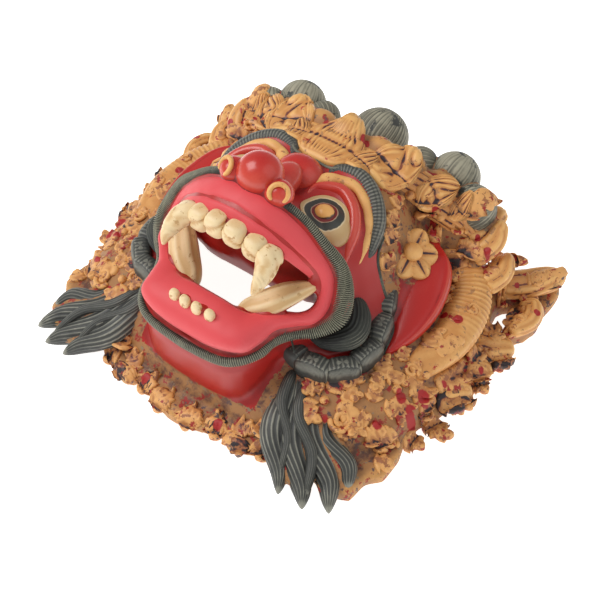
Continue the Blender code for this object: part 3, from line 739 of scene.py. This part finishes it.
# The horn bands: a broad fluted gold band round each side of the face, the fluted band over the
# forehead, a drop at each temple, and the flame tips along the mask's edge, all carved in gold.
HORN = (
    (104, 262, 66, 6, 6), (124, 248, 58, 12, 9), (144, 224, 52, 16, 10), (154, 196, 48, 18, 11),
    (156, 168, 45, 18, 11), (149, 142, 42, 17, 10), (138, 118, 38, 14, 9), (126, 100, 36, 6, 6),
)
CROWN = (
    (0, 226, 136, 20, 14), (34, 232, 132, 19, 14), (62, 242, 122, 18, 14),
    (88, 250, 106, 17, 14), (108, 256, 92, 15, 13), (122, 258, 80, 8, 9), (128, 258, 72, 3, 4),
)
EARDROP = (
    (77, 220, 97, 5, 5), (75, 234, 101, 11.5, 9), (73, 252, 103, 9.5, 8), (72, 276, 104, 2, 3),
)
FLAMES = (
    ((164, 200, 20, 12, 9), (182, 208, 17, 13, 9), (194, 213, 15, 9, 7), (199, 215, 14, 4, 4)),
    ((162, 172, 20, 12, 9), (178, 178, 17, 12, 9), (189, 182, 14, 8, 7), (195, 184, 13, 4, 4)),
    ((162, 140, 20, 12, 9), (178, 148, 17, 12, 9), (188, 152, 15, 8, 7), (193, 154, 14, 4, 4)),
    ((150, 262, 26, 12, 10), (172, 284, 26, 13, 10), (188, 300, 29, 10, 9), (195, 311, 31, 4, 5)),
    ((186, 228, 20, 6, 6), (193, 250, 20, 8, 8), (188, 266, 20, 7, 8), (176, 262, 20, 3, 5)),
    ((112, 254, 78, 16, 12), (122, 272, 82, 15, 10), (129, 287, 84, 10, 8), (131, 296, 83, 4, 4)),
    ((128, 246, 66, 13, 10), (138, 260, 78, 12, 9), (140, 271, 87, 8, 7), (139, 277, 93, 3, 3)),
    ((148, 236, 50, 12, 10), (155, 252, 56, 11, 9), (155, 263, 61, 8, 7), (153, 272, 64, 3, 3)),
)


def fluted(path, flutes, depth, blunt=10, grow=1.05, cross=0.0):
    """A form with flutes along it, whose ridges are scalloped from place to place."""
    def form(u, v):
        cuts = depth * np.abs(np.cos(math.pi * (flutes * v + 0.35 * np.sin(5 * u))))
        cuts = cuts + cross * np.abs(np.sin(math.pi * 42 * u)) * np.exp(-((u - 0.34) / 0.16) ** 2)
        shape = oval(path, u, v, blunt=blunt, swell=grow - depth / 2 + cuts)
        shape[:, 2] = np.maximum(shape[:, 2], 0.2)
        return shape
    return form


gold_forms = [
    (180, 56, fluted(HORN, 5, 0.05, cross=0.10)),
    (70, 90, fluted(CROWN, 16, 0.09, blunt=24, grow=1.04)),
    (36, 48, fluted(EARDROP, 4, 0.05)),
]
gold_forms += [(30, 48, fluted(p, 8, 0.14, grow=1.1)) for p in FLAMES]
carve("horn_bands_and_flames", worn_gold, gold_forms, rounds=6, depth=1.0)


# The gold ornament: scroll leaves, rolls and beads, cut in low relief over the skirt, the
# temples, the crown and the chin, with a fluted palmette over the forehead.
# Gold leaf paint of the scrolls: rubbed down to red and brown priming, and grimy and darkened with
# painted shade in the cuts.
leaf_gold = painted("rubbed_gold_leaf_paint", "#2A1F22", "#7A3D2E", "#BF8048", "#E2A763",
                    0.52, 8.0, 0.62, worn=(("#A0653F", 6.0, 0.55), ("#9C2A22", 10.0, 0.59),
                                           ("#54403E", 8.0, 0.63)))


# A leaf is laid on slopes up to this rise for each millimetre, and bridges steeper steps.
STEEPEST = 2.2


def leaf(root, tip, half, bow=0.0, height=4.0, lobes=3, flutes=0):
    """A leaf on the block, from its root to its tip, bowed to the side by a share of its length."""
    root, tip = np.array(root, float), np.array(tip, float)
    ahead = tip - root
    aside = np.array((-ahead[1], ahead[0]))

    def form(u, v):
        curve = u[:, None]
        middle = root + ahead * curve + aside * bow * np.sin(math.pi * curve * 0.95) * 1.1
        way = ahead + aside * bow * 3.3 * np.cos(math.pi * curve * 0.95)
        way /= np.linalg.norm(way, axis=1)[:, None]
        if flutes:
            wide = half * np.sin(math.pi * np.clip(u * 0.9 + 0.08, 0, 1) ** 0.9) ** 0.65
        else:
            wide = 2.55 * half * (u + 0.02) ** 0.45 * np.maximum(1.01 - u, 0) ** 0.8
            wide *= 0.72 + 0.5 * ((lobes * u * 1.15 + 0.35) % 1)
        wide *= np.sqrt(np.maximum(0, 1 - np.abs(2 * u - 1) ** 12))
        across = np.cos(2 * math.pi * v)
        x = middle[:, 0] - way[:, 1] * across * wide
        y = middle[:, 1] + way[:, 0] * across * wide
        gx = np.clip(read_map(slope_x, x, y), -STEEPEST, STEEPEST)
        gy = np.clip(read_map(slope_y, x, y), -STEEPEST, STEEPEST)
        long = np.sqrt(gx ** 2 + gy ** 2 + 1)
        top = np.maximum(0, 1 - across ** 2) ** 0.28
        top *= 1 - 0.3 * np.exp(-(across / 0.13) ** 2)
        top *= 1 + 0.08 * np.cos(2 * math.pi * (lobes * 1.5 * u - 0.9 * np.abs(across)))
        if flutes:
            ribs = np.cos(2 * math.pi * (flutes * across + 0.4 * np.sin(4 * u))) ** 2
            top = np.maximum(0, 1 - across ** 2) ** 0.3 * (0.85 + 0.2 * ribs * (u > 0.1))
            top *= 1 - 0.3 * np.exp(-((u - 0.42) / 0.05) ** 2)
        over = np.sin(2 * math.pi * v) > -1e-9
        rise = np.where(over, height * top * (0.7 + 0.6 * u ** 2), -3.0)
        rise *= np.sqrt(np.maximum(0, 1 - np.abs(2 * u - 1) ** 10))
        base = read_map(heights, x, y)
        base = np.clip(base, np.percentile(base, 70) - 6, np.percentile(base, 50) + 11)
        sign = np.sign(root[0] + 0.001)
        return np.stack((x - sign * gx / long * rise, y - gy / long * rise,
                         np.maximum(base + rise / long, 0.2)), 1)
    return (34, 100, form) if flutes > 6 else (26, 18, form)


def row(curve, count, out, length, half, bow, height=4.0):
    """Leaves of three sizes in turn, set along a curve in plan and turned out from it."""
    leaves = []
    for k in range(count):
        share = np.array([(k + 0.5) / count])
        here = line([p + (0,) for p in curve], share)[0]
        then = line([p + (0,) for p in curve], share + 0.01)[0]
        way = math.atan2(then[1] - here[1], then[0] - here[0]) + math.radians(out)
        big = (1.2, 0.8, 1.0)[k % 3]
        tip = (here[0] + math.cos(way) * length * big, here[1] + math.sin(way) * length * big)
        leaves.append(leaf(here[:2], tip, half * big, bow * (-1) ** k, height))
    return leaves


def coil(x, y, radius, thick, start):
    """A spiral roll on the block, whose end rises over its start."""
    marks = np.linspace(0, 1, 26)
    reach = radius * (1 - 0.72 * marks)
    turn = math.radians(start) + 2 * math.pi * COIL_TURNS * marks
    px, py = x + reach * np.cos(turn), y + reach * np.sin(turn)
    pz = read_map(heights, px, py)
    pz = np.maximum(pz, np.percentile(pz, 60) - 2) + 1.5 + 1.5 * marks
    path = np.stack((px, py, pz, thick * (1 - 0.2 * marks), thick * (1 - 0.1 * marks)), 1)
    return 50, 10, lambda u, v: oval(path, u, v, blunt=20)


def bead(x, y, radius):
    """A round boss on the block."""
    base = read_map(heights, np.array([float(x)]), np.array([float(y)]))[0]
    place = (x, y, base + radius * 0.3)
    return 12, 16, lambda u, v: egg(place, (radius, radius, radius), u, v)


# The leaves that stand alone: root, tip, half width, bow, height and lobes of each.
LEAVES = (
    ((88, 242), (86, 219), 7, 0.0, 6, 1), ((93, 246), (93, 268), 6, 0.0, 4, 1),
    ((96, 224), (102, 237), 5, 0.0, 5, 1), ((73, 202), (71, 218), 4, 0.1, 4, 2),
    ((61, 204), (58, 222), 6, 0.0, 4, 2), ((86, 174), (87, 190), 5, 0.2, 4, 2),
    ((89, 158), (88, 176), 4.5, -0.2, 4, 2), ((82, 184), (74, 200), 5, 0.0, 4, 2),
    ((119, 246), (132, 282), 9, 0.15, 5, 3), ((117, 240), (143, 247), 7, 0.0, 5, 2),
    ((112, 240), (132, 216), 11, 0.0, 5, 1), ((148, 238), (155, 251), 5, 0.0, 4, 2),
    ((154, 246), (172, 277), 8, 0.25, 5, 3), ((173, 276), (184, 293), 7, 0.0, 5, 2),
    ((186, 285), (193, 308), 7, 0.0, 5, 1), ((180, 263), (193, 243), 6, -0.3, 5, 1),
    ((193, 246), (180, 232), 6, -0.2, 5, 2), ((97, 66), (92, 48), 8, 0.0, 4, 3),
    ((96, 48), (118, 42), 8, -0.2, 5, 2), ((106, 62), (128, 88), 8, 0.1, 4, 2),
    ((137, 100), (129, 122), 7, 0.15, 5, 3), ((135, 103), (155, 108), 6, 0.1, 5, 2),
    ((130, 102), (135, 84), 6, 0.1, 5, 2), ((120, 56), (139, 42), 7, 0.45, 5, 2),
    ((134, 40), (151, 57), 6, 0.25, 5, 2), ((157, 52), (159, 72), 6, 0.2, 5, 3),
    ((164, 56), (166, 78), 6, 0.2, 5, 3), ((164, 48), (176, 58), 7, 0.0, 4, 2),
    ((148, 116), (172, 129), 6, -0.25, 4, 3), ((156, 111), (171, 121), 6, -0.2, 4, 3),
    ((163, 134), (178, 174), 7, -0.15, 5, 3), ((174, 145), (196, 181), 7, 0.15, 5, 3),
    ((173, 126), (192, 151), 8, -0.1, 5, 2), ((158, 91), (166, 82), 4, 0.0, 4, 1),
    ((170, 110), (176, 104), 4, 0.0, 4, 1), ((151, 80), (167, 104), 6, 0.0, 4, 3),
    ((175, 111), (173, 125), 5, 0.3, 4, 2), ((151, 146), (155, 170), 8, 0.2, 4, 3),
    ((163, 146), (169, 172), 7, 0.15, 4, 3), ((175, 172), (172, 193), 6, -0.2, 5, 2),
    ((181, 184), (184, 201), 6, 0.0, 5, 2), ((139, 122), (140, 137), 5, 0.2, 4, 2),
    ((149, 121), (152, 133), 5, 0.0, 4, 2), ((122, 62), (134, 76), 5, 0.2, 4, 2),
    ((137, 54), (137, 68), 5, -0.3, 4, 2), ((142, 180), (158, 184), 5, 0.1, 3, 2),
    ((142, 78), (141, 96), 6, 0.2, 4, 2), ((112, 98), (119, 112), 4, 0.2, 4, 2),
    ((176, 206), (187, 216), 6, 0.1, 5, 2), ((164, 212), (172, 232), 6, -0.2, 4, 2),
    ((8, -8), (26, -4), 7, 0.2, 4, 3), ((30, -4), (48, 0), 7, 0.2, 4, 3),
    ((54, 2), (72, 10), 7, 0.2, 4, 3), ((74, 6), (80, 24), 7, 0.0, 4, 2),
)
# The palmette over the forehead: smooth lobes, cut with fine flutes along the grain.
PALMETTE = (
    ((48, 204), (60, 256), 21, 9, 9), ((82, 224), (96, 264), 14, 8, 7),
    ((108, 238), (112, 266), 9, 6, 7), ((30, 196), (36, 226), 12, 8, 7),
)
CENTRE_LOBE = ((0, 188), (0, 246), 30, 9, 12)
# The edges in plan that the leaf rows follow: the skirt's, and the chin's from its middle.
OUTER_SKIRT = ((170, 74), (168, 90), (172, 106), (180, 124), (182, 142), (181, 162), (183, 190),
               (183, 212))
CHIN_EDGE = ((4, -1), (24, 1), (40, 8), (52, 5), (64, 4), (80, 12))
COIL_TURNS = 1.4
COILS = (
    (130, 50, 9, 2.6, 200), (84, 238, 6.5, 2.2, 90), (115, 243, 7, 2.2, 0), (180, 284, 7, 2.2, 90),
    (174, 112, 6, 2.0, 180), (150, 121, 6, 2.0, 0), (134, 198, 5, 1.8, 0), (100, 60, 6, 2.0, 90),
    (160, 200, 6, 2.0, 0), (166, 70, 6, 2.0, 0), (186, 228, 5, 2.0, 0), (188, 196, 5, 1.8, 0),
    (118, 76, 5, 1.8, 0), (164, 250, 5, 1.8, 0),
)
BEADS = (
    (99, 238, 4.5), (98, 228, 4), (73, 227, 4.5), (160, 250, 4), (176, 268, 4), (183, 277, 4),
    (192, 296, 4), (127, 226, 5), (132, 212, 4), (134, 203, 3.5), (128, 70, 4), (144, 66, 4),
    (150, 100, 4), (160, 128, 4), (110, 54, 4),
)
leaves = [leaf(*given) for given in LEAVES]
leaves += row(OUTER_SKIRT, 10, -75, 17, 7, 0.3, 4.5) + row(CHIN_EDGE, 7, -80, 14, 8, 0.15, 4.0)
carve("scroll_leaves", leaf_gold, leaves, rounds=5, depth=0.9)
carve("rolls_and_beads", leaf_gold,
      [coil(*given) for given in COILS] + [bead(*given) for given in BEADS], rounds=5, depth=0.9)
carve("palmette", worn_gold, [leaf(root, tip, half, 0.0, tall, 1, flutes)
                              for root, tip, half, tall, flutes in PALMETTE], rounds=5, depth=0.8)
root, tip, half, tall, flutes = CENTRE_LOBE
carve("centre_lobe", worn_gold, [leaf(root, tip, half, 0.0, tall, 1, flutes)], both=False, rounds=5)


# The painted line round the red face: a thin raised rim of the pale ground between the red and
# the gold, gone grey with dirt.
def rim(u, v):
    edge = [p + (0,) for p in RED_PLAN[3:]]
    path = line(edge, u)
    where = np.stack((path[:, 0], path[:, 1], read_map(heights, path[:, 0], path[:, 1])), 1)
    turn = 2 * math.pi * v
    ahead = line(edge, u + 0.005) - line(edge, u - 0.005)
    ahead /= np.linalg.norm(ahead, axis=1)[:, None]
    size = 1.5 * np.sqrt(np.maximum(0, 1 - np.abs(2 * u - 1) ** 90))
    aside = np.stack((-ahead[:, 1], ahead[:, 0], 0 * turn), 1)
    up = np.array((0, 0, 1.0))
    return where + aside * (size * np.cos(turn))[:, None] + up * (size * np.sin(turn))[:, None]


carve("face_rim", cord_paint, [(300, 8, rim)], rounds=2)


# The rosette at the temple: a round flower of six petals about a ball, carved from the block
# above the ear and painted with the bands' worn gold.
ROSETTE_PLACE = np.array((93, 197, 86))
ROSETTE_FACING = np.array((0.5, -0.15, 0.84))


def petal(turn):
    """A rounded petal with a crease along it, turned about the rosette's middle by degrees."""
    def form(u, v):
        side = np.cross(ROSETTE_FACING, (0, 1, 0))
        side /= np.linalg.norm(side)
        top = np.cross(side, ROSETTE_FACING)
        a = math.radians(turn)
        out, over = side * math.cos(a) + top * math.sin(a), top * math.cos(a) - side * math.sin(a)
        half = 11 * np.sin(math.pi * np.clip(u * 0.96 + 0.03, 0, 1) ** 1.1) ** 0.6
        across = np.cos(2 * math.pi * v)
        crease = 1 - 0.35 * np.exp(-(across / 0.2) ** 2)
        swell = 5 * np.sqrt(np.maximum(0, 1 - across ** 2)) * crease
        rise = np.where(np.sin(2 * math.pi * v) > -1e-9, swell, -4)
        rise *= np.sqrt(np.maximum(0, 1 - np.abs(2 * u - 1) ** 8))
        return (ROSETTE_PLACE + ROSETTE_FACING * (7.5 + rise)[:, None] + out * (3 + 22 * u)[:, None]
                + over * (across * half)[:, None])
    return form


rosette = [(24, 28, petal(60 * k + 15)) for k in range(6)]
rosette.append((20, 28, lambda u, v: egg(ROSETTE_PLACE + ROSETTE_FACING * 12, (8.5, 8.5, 8), u, v)))
carve("rosettes", worn_gold, rosette, rounds=5, depth=0.9)


# Painted shade and the dirt of years: both are laid in the hollows between the carved forms, so
# each point of a piece is darkened by how deep it lies under the tops around it. Some leaves are
# picked out in red paint, so each point also keeps how near it is to a red spot.
RED_SPOTS = (
    (158, 273, 4), (168, 268, 3), (155, 184, 5), (142, 183, 4), (188, 174, 3), (173, 138, 3),
    (156, 97, 6), (168, 113, 6), (168, 95, 6), (153, 67, 5), (196, 256, 4), (98, 229, 4),
    (143, 247, 4), (21, 233, 5), (40, 2, 5), (118, 44, 3), (130, 252, 3),
)
pieces = [thing for thing in bpy.context.scene.objects
          if thing.type == "MESH" and "relief" in thing.data.attributes]
all_places = []
for piece in pieces:
    flat = np.empty(len(piece.data.vertices) * 3)
    piece.data.vertices.foreach_get("co", flat)
    all_places.append(flat.reshape(-1, 3) / MM + (0, CHIN_TO_MIDDLE, 0))
GAP = 1.5
FILLINGS, SOFTENINGS = 2, 11
DEEP = 6
across = int(2 * REACH_X / GAP) + 2
along = int((REACH_Y[1] - REACH_Y[0]) / GAP) + 2
tops = np.zeros((across, along))
for places in all_places:
    i = np.clip(((places[:, 0] + REACH_X) / GAP).astype(int), 0, across - 1)
    j = np.clip(((places[:, 1] - REACH_Y[0]) / GAP).astype(int), 0, along - 1)
    np.maximum.at(tops, (i, j), places[:, 2])
for turn in range(FILLINGS + SOFTENINGS):
    wide = np.pad(tops, 1, mode="edge")
    beside = (wide[:-2, 1:-1], wide[2:, 1:-1], wide[1:-1, :-2], wide[1:-1, 2:])
    if turn < FILLINGS:
        tops = np.where(tops > 0, tops, np.max(beside, axis=0))
    else:
        tops = (sum(beside) + 2 * tops) / 6
for piece, places in zip(pieces, all_places):
    i = np.clip(((places[:, 0] + REACH_X) / GAP).astype(int), 0, across - 1)
    j = np.clip(((places[:, 1] - REACH_Y[0]) / GAP).astype(int), 0, along - 1)
    sunk = np.clip((places[:, 2] - tops[i, j]) / DEEP, -1, 0.6)
    sunk = np.where(sunk < -0.99, -0.3, sunk)
    kept = piece.data.attributes["relief"]
    values = np.empty(len(places), np.float32)
    kept.data.foreach_get("value", values)
    # The weight of the painted shade and dirt in each piece's hollows: less on the smooth painted
    # parts.
    shade_and_dirt = 0.12 if piece.data.materials[0] in (coral, nose_paint, eye_paint, tooth_paint) else 0.26
    if piece is block:
        shade_and_dirt = 0.15
        values = np.maximum(values, 0.4)
    kept.data.foreach_set("value", np.clip(values + shade_and_dirt * sunk + 0.03, 0, 1).astype(np.float32))
    near = np.zeros(len(places))
    for x, y, size in RED_SPOTS:
        far = np.hypot(np.abs(places[:, 0]) - x, places[:, 1] - y)
        near = np.maximum(near, 1 - far / (1.6 * size))
    spots_kept = piece.data.attributes.new("red_spot", "FLOAT", "POINT")
    spots_kept.data.foreach_set("value", np.maximum(near, 0).astype(np.float32))
